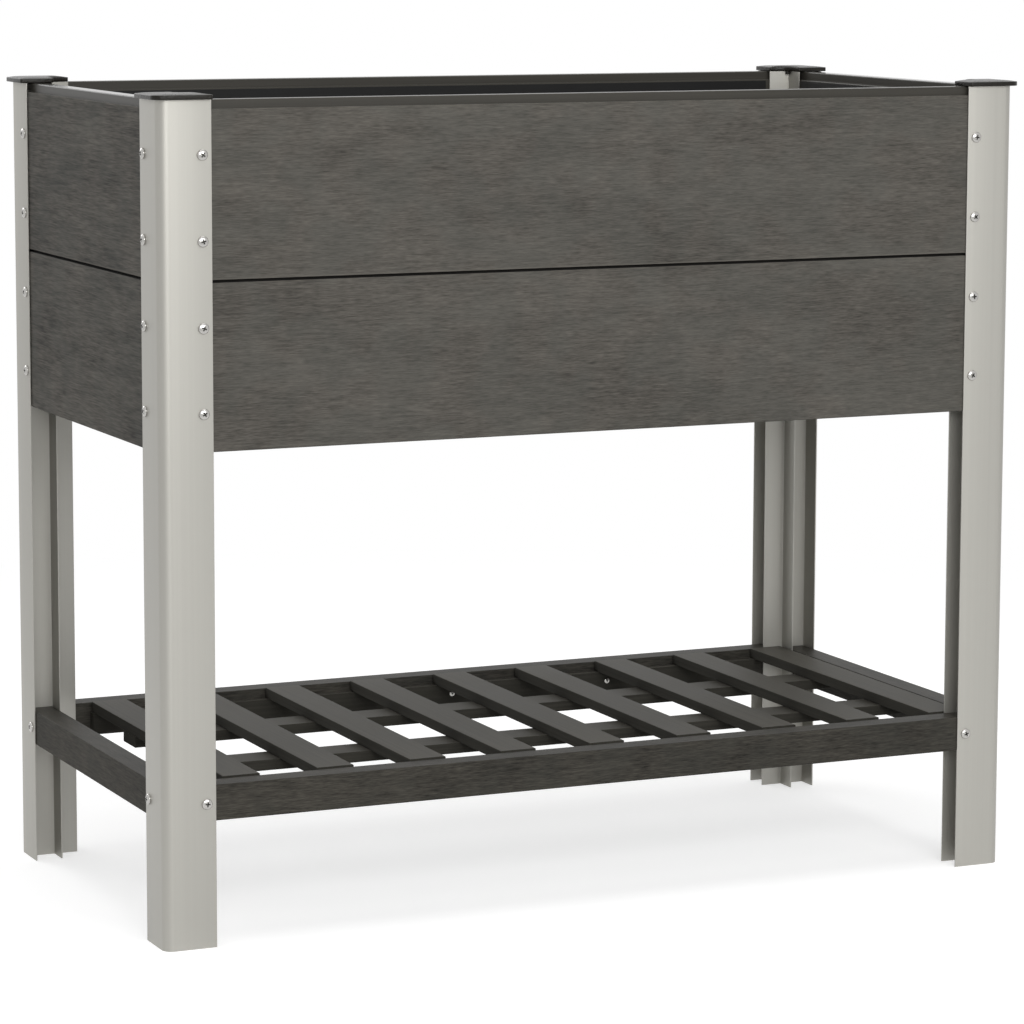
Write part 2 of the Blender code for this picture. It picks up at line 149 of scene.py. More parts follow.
class Value:
    """One output of a shader node. Arithmetic on it adds Math nodes."""

    def __init__(self, graph: "Graph", socket: bpy.types.NodeSocket) -> None:
        """Keep the socket and the graph that it belongs to."""
        self.graph = graph
        self.socket = socket

    def math(self, operation: str, *operands: Operand) -> "Value":
        """Add a Math node.

        Args:
            operation: the node's operation.
            operands: its inputs, in order.

        Returns:
            The node's result.
        """
        inputs = dict(enumerate(operands))
        return self.graph.node("ShaderNodeMath", {"operation": operation}, inputs)

    def __add__(self, other: Operand) -> "Value":
        """Add."""
        return self.math("ADD", self, other)

    def __radd__(self, other: Operand) -> "Value":
        """Add, from the right."""
        return self.math("ADD", other, self)

    def __sub__(self, other: Operand) -> "Value":
        """Subtract."""
        return self.math("SUBTRACT", self, other)

    def __rsub__(self, other: Operand) -> "Value":
        """Subtract, from the right."""
        return self.math("SUBTRACT", other, self)

    def __mul__(self, other: Operand) -> "Value":
        """Multiply."""
        return self.math("MULTIPLY", self, other)

    def __rmul__(self, other: Operand) -> "Value":
        """Multiply, from the right."""
        return self.math("MULTIPLY", other, self)

    def __abs__(self) -> "Value":
        """Take the size without the sign."""
        return self.math("ABSOLUTE", self)

    def ramp(self, start: float, end: float) -> "Value":
        """Rise smoothly from 0 to 1 between two values.

        Args:
            start: the value that gives 0.
            end: the value that gives 1, which may be below start.

        Returns:
            A factor from 0 to 1.
        """
        settings = {"interpolation_type": "SMOOTHSTEP"}
        inputs = {"Value": self, "From Min": start, "From Max": end}
        return self.graph.node("ShaderNodeMapRange", settings, inputs)


class Graph:
    """The nodes of a material or a world."""

    def __init__(self, owner: bpy.types.Material | bpy.types.World) -> None:
        """Switch its nodes on.

        Args:
            owner: the material or the world.
        """
        owner.use_nodes = True
        self.owner = owner
        self.tree = owner.node_tree

    def node(
        self,
        kind: str,
        settings: dict[str, Any] | None = None,
        inputs: dict[str | int, Operand] | None = None,
        output: str | int = 0,
    ) -> Value:
        """Add a node, set it up and fill its sockets.

        Args:
            kind: the node's type.
            settings: the node's own properties, set first.
            inputs: values or links, by socket name or number.
            output: the output to hand back.

        Returns:
            That output.
        """
        node = self.tree.nodes.new(kind)
        for key, setting in (settings or {}).items():
            setattr(node, key, setting)
        for key, given in (inputs or {}).items():
            self.feed(node.inputs[key], given)
        return Value(self, node.outputs[output])

    def feed(self, socket: bpy.types.NodeSocket, given: Operand) -> None:
        """Set a socket, or link it.

        Args:
            socket: the input socket.
            given: a value, or an output to link.
        """
        if isinstance(given, Value):
            self.tree.links.new(given.socket, socket)
        else:
            socket.default_value = given

    def finish(self, last: str = "Principled BSDF", **inputs: Operand) -> bpy.types.ID:
        """Fill a last node's sockets and hand the material or the world over.

        Args:
            last: the node's name.
            inputs: its sockets, with underscores for spaces.

        Returns:
            The material or the world.
        """
        for name, given in inputs.items():
            self.feed(self.tree.nodes[last].inputs[name.replace("_", " ")], given)
        return self.owner

    def place(self) -> Value:
        """The point's place, in the object's metres."""
        return self.node("ShaderNodeTexCoord", output="Object")

    def axis(self, name: str) -> Value:
        """One coordinate of the place: X, Y or Z."""
        return self.node("ShaderNodeSeparateXYZ", inputs={0: self.place()}, output=name)

    def upward(self, least: float = 0.5, most: float = 0.9) -> Value:
        """Tell faces that look up from upright ones.

        Args:
            least: the upward part of the normal that gives 0.
            most: the upward part that gives 1.

        Returns:
            1 on faces that look up, and 0 on upright ones.
        """
        normal = self.node("ShaderNodeNewGeometry", output="Normal")
        return self.node("ShaderNodeSeparateXYZ", inputs={0: normal}, output="Z").ramp(least, most)

    def seen(self) -> Value:
        """Tell rays that look from rays that gather light.

        Returns:
            1 for the camera, reflections and transmission, or else 0.
        """
        camera, glossy, sent = (self.node("ShaderNodeLightPath", output=kind) for kind in LOOKING_RAYS)
        return camera.math("MAXIMUM", camera, glossy.math("MAXIMUM", glossy, sent))

    def noise(self, scale: Triple, detail: float = 2.0) -> Value:
        """Add noise stretched along the axes.

        Args:
            scale: repeats per metre along X, Y and Z.
            detail: octaves.

        Returns:
            A factor about 0.5.
        """
        settings = {"operation": "MULTIPLY"}
        stretched = self.node("ShaderNodeVectorMath", settings, {0: self.place(), 1: scale})
        inputs = {"Vector": stretched, "Scale": 1.0, "Detail": detail}
        return self.node("ShaderNodeTexNoise", inputs=inputs)

    def mix(self, factor: Operand, first: Operand, second: Operand) -> Value:
        """Mix two colours.

        Args:
            factor: 0 gives the first and 1 the second.
            first: a colour or an output.
            second: a colour or an output.

        Returns:
            The mixed colour.
        """
        first, second = (c if isinstance(c, Value) else (*c, 1.0) for c in (first, second))
        settings = {"data_type": "RGBA"}
        return self.node("ShaderNodeMix", settings, {0: factor, 6: first, 7: second}, output=2)

    def between(self, tone: Value, colour: Colour, contrast: float) -> Value:
        """Vary a colour from darker to lighter.

        Args:
            tone: 0 gives the darkest and 1 the lightest.
            colour: the colour in the middle.
            contrast: how far the ends are from it, as a share.

        Returns:
            The varied colour.
        """
        return self.mix(tone, scaled(colour, 1 - contrast), scaled(colour, 1 + contrast))

    def bump(self, height: Value, distance: float) -> Value:
        """Turn a height into a normal.

        Args:
            height: a factor.
            distance: metres from height 0 to height 1.

        Returns:
            The normal.
        """
        return self.node("ShaderNodeBump", inputs={"Height": height, "Distance": distance, "Strength": 1.0})


def material_graph(name: str) -> Graph:
    """The nodes of a new material with a Principled BSDF."""
    return Graph(bpy.data.materials.new(name))


def scaled(colour: Colour, factor: float) -> Colour:
    """Make a colour lighter or darker.

    Args:
        colour: a linear colour.
        factor: its new strength.

    Returns:
        The new colour.
    """
    return tuple(channel * factor for channel in colour)


# ---- finishes


@dataclass(frozen=True)
class Layer:
    """A layer of noise: repeats per metre along and across the run, octaves, and its weight in the tone."""

    along: float
    across: float
    detail: float = 2.0
    weight: float = 0.0

    def noise(self, graph: Graph, run: Run, length: float = 1.0, width: float = 1.0) -> Value:
        """Add the layer's noise.

        Args:
            graph: the finish's nodes.
            run: the way that the grain runs.
            length: how much longer the grain is.
            width: how much wider it is.

        Returns:
            A factor about 0.5.
        """
        return graph.noise(run.scale(self.along / length, self.across / width), self.detail)

    def swing(self, noise: Value) -> Value:
        """How far the layer's noise moves the tone."""
        return (noise - MIDDLE) * self.weight


@dataclass(frozen=True)
class BrushedComposite:
    """Wood-plastic board, brushed on its outer face, with the die's smooth skin on the others."""

    name: str
    run: Run
    colour: Colour
    faded: Colour
    outer: float | None = None
    seam: float = 0.0
    # Widths of the painted shade band below the seam and of the painted highlight band above it.
    seam_width: float = 2.5 * MM
    worn_width: float = 1.6 * MM
    grain_length: float = 1.0
    grain_width: float = 1.0
    smooth_colour: Colour = (0.047, 0.044, 0.037)
    smooth_contrast: float = 0.25
    side_roughness: float = 0.36
    top_roughness: float = 0.30
    brushed_roughness: float = 0.70
    brushed_variation: float = 0.10
    rail_roughness: float = 0.68
    rail_variation: float = 0.12
    rail_top_shine: float = 0.22
    sheen: float = 0.17
    contrast: float = 0.52
    hair: Layer = Layer(105, 1250, weight=1.35)
    streak: Layer = Layer(34, 420, weight=1.0)
    cloud: Layer = Layer(5, 17, detail=3, weight=0.75)
    patch: Layer = Layer(24, 48, weight=0.45)
    fibre: Layer = Layer(36, 1500, detail=0)
    fading: Layer = Layer(21, 21, detail=1)
    drawn: Layer = Layer(3, 260)
    fibre_range: Point = (0.71, 0.82)
    fading_range: Point = (0.40, 0.62)
    fading_share: float = 0.25
    fibre_share: float = 0.45
    fibre_brightness: float = 2.0
    # Painted highlight: how strong and how light the band just above the seam is.
    worn_share: float = 0.5
    worn_brightness: float = 1.7
    # Painted shade in the seam: how dark and how much rougher the band is, and where it starts and ends.
    grime_brightness: float = 0.1
    grime_roughness: float = 0.5
    grime_edge: Point = (0.7, 0.5)
    brush_start: Point = (2.6 * MM, 1.6 * MM)
    relief: Triple = (0.6, 0.4, 0.3)
    relief_depth: float = 0.2 * MM

    def build(self) -> bpy.types.Material:
        """Make the material.

        Returns:
            The material.
        """
        graph = material_graph(f"{self.name}_{self.run.suffix}")
        length, width = self.grain_length, self.grain_width
        hair = self.hair.noise(graph, self.run, length, width)
        streak = self.streak.noise(graph, self.run, length, width)
        fibre = self.fibre.noise(graph, self.run, length, width).ramp(*self.fibre_range)
        colour = self.brushed(graph, hair, streak, fibre)
        by_hair, by_streak, by_fibre = self.relief
        relief = hair * by_hair + streak * by_streak + fibre * by_fibre
        if self.outer is None:
            rough = self.rail_roughness + self.rail_variation * hair
            return graph.finish(
                Base_Color=colour,
                Roughness=rough - self.rail_top_shine * graph.upward(),
                Specular_IOR_Level=self.sheen,
                Normal=graph.bump(relief, self.relief_depth),
            )
        depth = abs(graph.axis(self.run.thickness_axis))
        inside, face = self.brush_start
        outside = depth.ramp(self.outer - inside, self.outer - face)
        skin = self.side_roughness + graph.upward() * (self.top_roughness - self.side_roughness)
        rise = graph.axis("Z") - self.seam
        # Painted highlight: the outer face is lightened in a thin band just above the seam.
        seam_highlight = abs(rise - self.worn_width / 2).ramp(self.worn_width, 0)
        colour = graph.mix(seam_highlight * self.worn_share, colour, scaled(self.colour, self.worn_brightness))
        # Painted shade: a dark band just below the seam stands for the joint's shadow.
        shade_start, shade_full = (share * self.seam_width for share in self.grime_edge)
        seam_shade = abs(rise + self.seam_width / 2).ramp(shade_start, shade_full)
        board = graph.mix(outside, self.smooth(graph), colour)
        brush = self.brushed_roughness + self.brushed_variation * hair - skin
        return graph.finish(
            Base_Color=graph.mix(seam_shade, board, scaled(self.colour, self.grime_brightness)),
            Roughness=skin + outside * brush + seam_shade * self.grime_roughness,
            Specular_IOR_Level=self.sheen,
            Normal=graph.bump(relief * outside, self.relief_depth),
        )

    def brushed(self, graph: Graph, hair: Value, streak: Value, fibre: Value) -> Value:
        """Colour the brushed face.

        Args:
            graph: the finish's nodes.
            hair: the finest marks.
            streak: the longer marks.
            fibre: the few pale scratches.

        Returns:
            The colour.
        """
        cloud = self.cloud.noise(graph, self.run)
        patch = self.patch.noise(graph, self.run)
        tone = MIDDLE + self.hair.swing(hair) + self.streak.swing(streak)
        tone = tone + self.cloud.swing(cloud) + self.patch.swing(patch)
        brushed = graph.between(tone, self.colour, self.contrast)
        fading = self.fading.noise(graph, self.run).ramp(*self.fading_range)
        brushed = graph.mix(fading * self.fading_share, brushed, self.faded)
        return graph.mix(fibre * self.fibre_share, brushed, scaled(self.colour, self.fibre_brightness))

    def smooth(self, graph: Graph) -> Value:
        """Colour the faces that the brush doesn't reach."""
        return graph.between(self.drawn.noise(graph, self.run), self.smooth_colour, self.smooth_contrast)


@dataclass(frozen=True)
class SmoothComposite:
    """Wood-plastic slat, with the even, slightly drawn skin that leaves the die. Its edges are dull, and
    painted shade colours its upright faces darker than its top.
    """

    run: Run
    name: str = "smooth_composite"
    colour: Colour = (0.084, 0.0795, 0.067)
    # Painted shade: the colour of faces that don't look up.
    edge_colour: Colour = (0.038, 0.036, 0.030)
    contrast: float = 0.28
    edge_roughness: float = 0.85
    top_roughness: float = 0.50
    drawn_roughness: float = 0.10
    cloud_roughness: float = 0.12
    sheen: float = 0.15
    drawn: Layer = Layer(3, 420, weight=1.4)
    cloud: Layer = Layer(9, 9, detail=3, weight=0.8)
    speck: Layer = Layer(1500, 1500, detail=1, weight=0.5)
    relief: Point = (0.5, 0.5)
    relief_depth: float = 0.06 * MM

    def build(self) -> bpy.types.Material:
        """Make the material.

        Returns:
            The material.
        """
        graph = material_graph(f"{self.name}_{self.run.suffix}")
        drawn = self.drawn.noise(graph, self.run)
        cloud = self.cloud.noise(graph, self.run)
        speck = self.speck.noise(graph, self.run)
        tone = MIDDLE + self.drawn.swing(drawn) + self.cloud.swing(cloud) + self.speck.swing(speck)
        top = graph.upward()
        weak, strong = 1 - self.contrast, 1 + self.contrast
        # Painted shade: faces that don't look up take the darker side colour.
        dark = graph.mix(top, scaled(self.edge_colour, weak), scaled(self.colour, weak))
        light = graph.mix(top, scaled(self.edge_colour, strong), scaled(self.colour, strong))
        skin = self.edge_roughness + top * (self.top_roughness - self.edge_roughness)
        by_drawn, by_speck = self.relief
        return graph.finish(
            Base_Color=graph.mix(tone, dark, light),
            Roughness=skin + drawn * self.drawn_roughness + (cloud - MIDDLE) * self.cloud_roughness,
            Specular_IOR_Level=self.sheen,
            Normal=graph.bump(drawn * by_drawn + speck * by_speck, self.relief_depth),
        )


@dataclass(frozen=True)
class SatinAluminium:
    """Anodised extrusion: satin, with faint lines drawn along it."""

    name: str = "satin_aluminium"
    colour: Colour = (0.390, 0.381, 0.350)
    contrast: float = 0.06
    metallic: float = 0.8
    roughness: float = 0.46
    lines_roughness: float = 0.08
    cloud_roughness: float = 0.06
    lines: Layer = Layer(0.7, 640, detail=3, weight=0.7)
    bands: Layer = Layer(0.4, 95, detail=1, weight=0.5)
    cloud: Layer = Layer(3, 6, weight=0.4)
    relief_depth: float = 0.012 * MM

    def build(self) -> bpy.types.Material:
        """Make the material.

        Returns:
            The material.
        """
        graph = material_graph(self.name)
        lines = self.lines.noise(graph, Run.UPRIGHT)
        bands = self.bands.noise(graph, Run.UPRIGHT)
        cloud = self.cloud.noise(graph, Run.UPRIGHT)
        tone = MIDDLE + self.lines.swing(lines) + self.bands.swing(bands) + self.cloud.swing(cloud)
        rough = self.roughness + (lines - MIDDLE) * self.lines_roughness
        return graph.finish(
            Base_Color=graph.between(tone, self.colour, self.contrast),
            Metallic=self.metallic,
            Roughness=rough + (cloud - MIDDLE) * self.cloud_roughness,
            Normal=graph.bump(lines, self.relief_depth),
        )


@dataclass(frozen=True)
class MouldedPlastic:
    """Black plastic with a fine moulded grain."""

    name: str
    colour: Colour
    roughness: float
    grain: Layer
    sheen: float
    relief: float = 0.08 * MM
    cloud: Layer = Layer(30, 30)
    contrast: float = 0.2
    cloud_roughness: float = 0.12
    grain_roughness: float = 0.1

    def build(self) -> bpy.types.Material:
        """Make the material.

        Returns:
            The material.
        """
        graph = material_graph(self.name)
        grain = self.grain.noise(graph, Run.UPRIGHT)
        cloud = self.cloud.noise(graph, Run.UPRIGHT)
        rough = self.roughness + (cloud - MIDDLE) * self.cloud_roughness
        return graph.finish(
            Base_Color=graph.between(cloud, self.colour, self.contrast),
            Roughness=rough + (grain - MIDDLE) * self.grain_roughness,
            Specular_IOR_Level=self.sheen,
            Normal=graph.bump(grain, self.relief),
        )


@dataclass(frozen=True)
class StainlessSteel:
    """Bright screw steel with fine turning marks and a little staining."""

    name: str
    colour: Colour
    roughness: float
    stain: Layer = Layer(700, 700)
    marks: Layer = Layer(4000, 4000, detail=1)
    stained: float = 0.85
    bright: float = 1.1
    stain_roughness: float = 0.12
    relief: float = 0.01 * MM

    def build(self) -> bpy.types.Material:
        """Make the material.

        Returns:
            The material.
        """
        graph = material_graph(self.name)
        stain = self.stain.noise(graph, Run.UPRIGHT)
        marks = self.marks.noise(graph, Run.UPRIGHT)
        dark, light = scaled(self.colour, self.stained), scaled(self.colour, self.bright)
        return graph.finish(
            Base_Color=graph.mix(stain, dark, light),
            Metallic=1.0,
            Roughness=self.roughness + stain * self.stain_roughness,
            Normal=graph.bump(marks, self.relief),
        )


# ---- meshes


def arc(centre: Point, radius: float, start: float, end: float, steps: int) -> list[Point]:
    """Draw an arc.

    Args:
        centre: its centre.
        radius: its radius.
        start: the first angle in degrees.
        end: the last angle in degrees.
        steps: how many straight stretches it has.

    Returns:
        Its points.
    """
    angles = [radians(start + (end - start) * step / steps) for step in range(steps + 1)]
    return [(centre[0] + radius * cos(a), centre[1] + radius * sin(a)) for a in angles]


def eased(corners: Sequence[Point], radius: float) -> list[Point]:
    """Round the right-angled corners of an outline.

    Args:
        corners: the outline's corners, in order.
        radius: the rounding's radius, unless a side is too short for it.

    Returns:
        The rounded outline.
    """
    points: list[Point] = []
    for before, corner, after in zip([corners[-1], *corners[:-1]], corners, [*corners[1:], corners[0]]):
        here = Vector(corner)
        back, on = Vector(before) - here, Vector(after) - here
        size = min(radius, EASE_SHARE * back.length, EASE_SHARE * on.length)
        back, on = back.normalized(), on.normalized()
        centre = here + (back + on) * size
        first = atan2(-on.y, -on.x)
        last = atan2(-back.y, -back.x)
        sweep = (last - first + pi) % (2 * pi) - pi
        points += arc(tuple(centre), size, degrees(first), degrees(first + sweep), EASE_STEPS)
    return points


def mesh_of(guide: bpy.types.Object, name: str) -> bpy.types.Mesh:
    """Take a guide's evaluated shape and remove the guide.

    Args:
        guide: an object that isn't in the scene yet.
        name: the mesh's name.

    Returns:
        A welded mesh with its faces pointing out.
    """
    bpy.context.scene.collection.objects.link(guide)
    bpy.context.view_layer.update()
    graph = bpy.context.evaluated_depsgraph_get()
    mesh = bpy.data.meshes.new_from_object(guide.evaluated_get(graph))
    mesh.name = name
    bpy.data.objects.remove(guide, do_unlink=True)
    edit = bmesh.new()
    edit.from_mesh(mesh)
    bmesh.ops.remove_doubles(edit, verts=edit.verts, dist=WELD)
    bmesh.ops.recalc_face_normals(edit, faces=edit.faces)
    edit.to_mesh(mesh)
    edit.free()
    return mesh


def extrusion(name: str, loops: Sequence[Sequence[Point]], length: float) -> bpy.types.Mesh:
    """Extrude an outline upwards from zero.

    Args:
        name: the mesh's name.
        loops: the outer outline, then the outlines of its hollows.
        length: its height.

    Returns:
        A closed mesh.
    """
    outline = bpy.data.curves.new(name, "CURVE")
    outline.dimensions = "2D"
    outline.fill_mode = "BOTH"
    outline.extrude = length / 2
    for loop in loops:
        spline = outline.splines.new("POLY")
        spline.points.add(len(loop) - 1)
        spline.use_cyclic_u = True
        for point, (x, y) in zip(spline.points, loop):
            point.co = (x, y, 0, 1)
    mesh = mesh_of(bpy.data.objects.new(name, outline), name)
    mesh.transform(Matrix.Translation((0, 0, length / 2)))
    return mesh


def inset(points: Sequence[Point], away: float) -> list[Point]:
    """Move an outline inwards.

    Args:
        points: the outline, counterclockwise.
        away: how far each side moves.

    Returns:
        The smaller outline.
    """
    moved = []
    for before, here, after in zip([points[-1], *points[:-1]], points, [*points[1:], points[0]]):
        normals = [
            Vector((start[1] - end[1], end[0] - start[0])).normalized()
            for start, end in ((before, here), (here, after))
        ]
        both = normals[0] + normals[1]
        moved.append(tuple(Vector(here) + both * (2 * away / both.length_squared)))
    return moved


def lofted(name: str, rings: Sequence[Sequence[Triple]]) -> bpy.types.Mesh:
    """Join rings of points to a closed skin.

    Args:
        name: the mesh's name.
        rings: rings with the same number of points, in order.

    Returns:
        The skin, with a face across the first ring and the last.
    """
    edit = bmesh.new()
    loops = [[edit.verts.new(point) for point in ring] for ring in rings]
    count = len(loops[0])
    for low, high in zip(loops, loops[1:]):
        for here in range(count):
            there = (here + 1) % count
            edit.faces.new((low[here], low[there], high[there], high[here]))
    edit.faces.new(loops[0])
    edit.faces.new(loops[-1])
    bmesh.ops.recalc_face_normals(edit, faces=edit.faces)
    mesh = bpy.data.meshes.new(name)
    edit.to_mesh(mesh)
    edit.free()
    return mesh


def turned(name: str, profile: Sequence[Point], sides: int) -> bpy.types.Mesh:
    """Turn a profile about Z.

    Args:
        name: the mesh's name.
        profile: distances from the axis and heights, from the top down.
        sides: straight stretches round it.

    Returns:
        The turned mesh.
    """
    line = bpy.data.meshes.new(name)
    edges = [(point, point + 1) for point in range(len(profile) - 1)]
    line.from_pydata([(x, 0, z) for x, z in profile], edges, [])
    guide = bpy.data.objects.new(name, line)
    screw = guide.modifiers.new("turn", "SCREW")
    screw.steps = screw.render_steps = sides
    screw.use_merge_vertices = True
    screw.merge_threshold = WELD
    return mesh_of(guide, name)


def shade(mesh: bpy.types.Mesh, angle: float) -> bpy.types.Mesh:
    """Shade a mesh smooth up to an angle.

    Args:
        mesh: the mesh.
        angle: the sharpest edge that stays smooth, in degrees.

    Returns:
        The same mesh.
    """
    mesh.shade_smooth()
    mesh.set_sharp_from_angle(angle=radians(angle))
    return mesh


def fit(
    name: str,
    mesh: bpy.types.Mesh,
    place: Matrix,
    material: bpy.types.Material,
    stands_for: Sequence[str] = (),
) -> bpy.types.Object:
    """Put a piece on the planter.

    Args:
        name: the piece's name.
        mesh: its mesh, which it may share.
        place: its matrix.
        material: its finish.
        stands_for: the frame's nodes that it replaces.

    Returns:
        The piece.
    """
    piece = bpy.data.objects.new(name, mesh)
    bpy.context.scene.collection.objects.link(piece)
    piece.matrix_world = place
    if not mesh.materials:
        mesh.materials.append(material)
    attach(piece, BODY)
    if stands_for:
        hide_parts(*stands_for)
    return piece


# ---- the planter's parts


@dataclass
class Outline:
    """The planter's sizes, read from the frame."""

    low: Vector = field(default_factory=lambda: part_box("leg_front_left")[0])
    high: Vector = field(default_factory=lambda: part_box("leg_back_right")[1])

    @property
    def half_x(self) -> float:
        """Half the length over the legs."""
        return (self.high.x - self.low.x) / 2

    @property
    def half_y(self) -> float:
        """Half the depth over the legs."""
        return (self.high.y - self.low.y) / 2

    @property
    def leg_height(self) -> float:
        """The legs' height."""
        return self.high.z


@dataclass
class Legs:
    """Four corner extrusions: two flanges round a rounded corner, and two fins crossing behind them."""

    outline: Outline
    finish: SatinAluminium = SatinAluminium()
    flange: float = 57.2 * MM
    flange_wall: float = 1.5 * MM
    fin_near: float = 30.0 * MM
    fin_wall: float = 1.4 * MM
    corner_radius: float = 11.0 * MM
    corner_steps: int = 24
    edge: float = 0.4 * MM
    smooth_angle: float = 24.0

    @property
    def fin_far(self) -> float:
        """The distance from the leg's outer face to a fin's far side."""
        return self.fin_near + self.fin_wall

    def section(self) -> list[list[Point]]:
        """Draw the section from its outer corner.

        Returns:
            The outer outline and the square tube's hollow.
        """
        end, wall, near, far = self.flange, self.flange_wall, self.fin_near, self.fin_far
        centre = (self.corner_radius, self.corner_radius)
        corners = [
            (wall, end), (wall, far), (near, far), (near, end), (far, end), (far, far),
            (end, far), (end, near), (far, near), (far, wall), (end, wall), (end, 0), (0, 0), (0, end),
        ]
        rounded = eased(corners, self.edge)
        square = [number for number, point in enumerate(rounded) if max(point) <= self.edge + WELD]
        outer = arc(centre, self.corner_radius, 270, 180, self.corner_steps)
        inner = arc(centre, self.corner_radius - wall, 270, 180, self.corner_steps)
        return [
            rounded[:square[0]] + outer + rounded[square[-1] + 1:],
            [*inner, (wall, near), (near, near), (near, wall)],
        ]

    def build(self) -> list[bpy.types.Object]:
        """Make the legs.

        Returns:
            The four legs.
        """
        mesh = shade(extrusion("leg", self.section(), self.outline.leg_height), self.smooth_angle)
        material = self.finish.build()
        return [
            fit(
                f"post_{corner.label}",
                mesh,
                corner.place(self.outline.half_x, self.outline.half_y, 0),
                material,
                [f"leg_{corner.label}"],
            )
            for corner in Corner
        ]


@dataclass
class Caps:
    """Black plastic caps: a crowned plate over the leg's section, and a tab behind the fins' crossing."""

    outline: Outline
    legs: Legs
    finish: MouldedPlastic = MouldedPlastic(
        "cap_plastic",
        colour=(0.013, 0.0115, 0.009),
        roughness=0.28,
        grain=Layer(420, 420),
        sheen=0.2,
        relief=0.3 * MM,
    )
    overhang: float = 6.0 * MM
    inner_overhang: float = 0.6 * MM
    thickness: float = 4.8 * MM
    crown: float = 1.4 * MM
    seat: float = 0.3 * MM
    corner: float = 12.0 * MM
    corner_steps: int = 14
    end_corner: float = 2.0 * MM
    end_steps: int = 5
    chamfer: float = 9.0 * MM
    edge: float = 0.7 * MM
    edge_steps: int = 5
    rim: float = 1.8 * MM
    rings: int = 12
    crown_power: int = 5
    plate_smooth_angle: float = 50.0
    tab_gap: float = 0.4 * MM
    tab_width: float = 4.5 * MM
    tab_depth: float = 3.5 * MM
    tab_smooth_angle: float = 40.0

    def shape(self) -> list[Point]:
        """Draw the plate, with a chamfer over the tab.

        Returns:
            Its outline, counterclockwise.
        """
        low, high = -self.overhang, self.legs.flange
        inner, end, steps = self.legs.fin_far + self.inner_overhang, self.end_corner, self.end_steps
        return [
            *arc((low + self.corner, low + self.corner), self.corner, 180, 270, self.corner_steps),
            *arc((high - end, low + end), end, 270, 360, steps),
            *arc((high - end, inner - end), end, 0, 90, steps),
            (inner + self.chamfer, inner),
            (inner, inner + self.chamfer),
            *arc((inner - end, high - end), end, 0, 90, steps),
            *arc((low + end, high - end), end, 90, 180, steps),
        ]

    def plate(self) -> bpy.types.Mesh:
        """Model the plate as rings of its outline, from the underside over the rounded edge to the crown.

        Returns:
            The plate's mesh, from the leg's corner at its top.
        """
        shape, edge, top = self.shape(), self.edge, self.seat + self.thickness
        turns = [radians(90 * step / self.edge_steps) for step in range(self.edge_steps + 1)]
        under = [(edge * (1 - sin(turn)), self.seat + edge * (1 - cos(turn))) for turn in turns]
        over = [(edge * (1 - cos(turn)), top - edge * (1 - sin(turn))) for turn in turns]
        rings = [[(*point, height) for point in inset(shape, away)] for away, height in [*under, *over]]
        middle = (self.legs.flange - self.overhang) / 2
        start = inset(shape, self.rim)
        for ring in range(self.rings):
            share = 1 - ring / self.rings
            height = top + self.crown * (1 - share**self.crown_power)
            rings.append([(*(middle + (c - middle) * share for c in point), height) for point in start])
        return shade(lofted("cap_plate", rings), self.plate_smooth_angle)

    def tab(self) -> bpy.types.Mesh:
        """Model the tab that drops behind the fins' crossing.

        Returns:
            The tab's mesh.
        """
        low = self.legs.fin_far + self.tab_gap
        high = low + self.tab_width
        outline = eased([(low, low), (high, low), (high, high), (low, high)], self.edge)
        mesh = extrusion("cap_tab", [outline], self.tab_depth + self.seat + self.edge)
        mesh.transform(Matrix.Translation((0, 0, -self.tab_depth)))
        return shade(mesh, self.tab_smooth_angle)

    def build(self) -> list[bpy.types.Object]:
        """Make the caps.

        Returns:
            The four plates, then the four tabs.
        """
        plate, tab, material = self.plate(), self.tab(), self.finish.build()
        half_x, half_y, height = self.outline.half_x, self.outline.half_y, self.outline.leg_height
        places = {corner.label: corner.place(half_x, half_y, height) for corner in Corner}
        plates = [
            fit(f"cap_plate_{label}", plate, place, material, [f"cap_{label}"])
            for label, place in places.items()
        ]
        tabs = [fit(f"cap_tab_{label}", tab, place, material) for label, place in places.items()]
        return plates + tabs


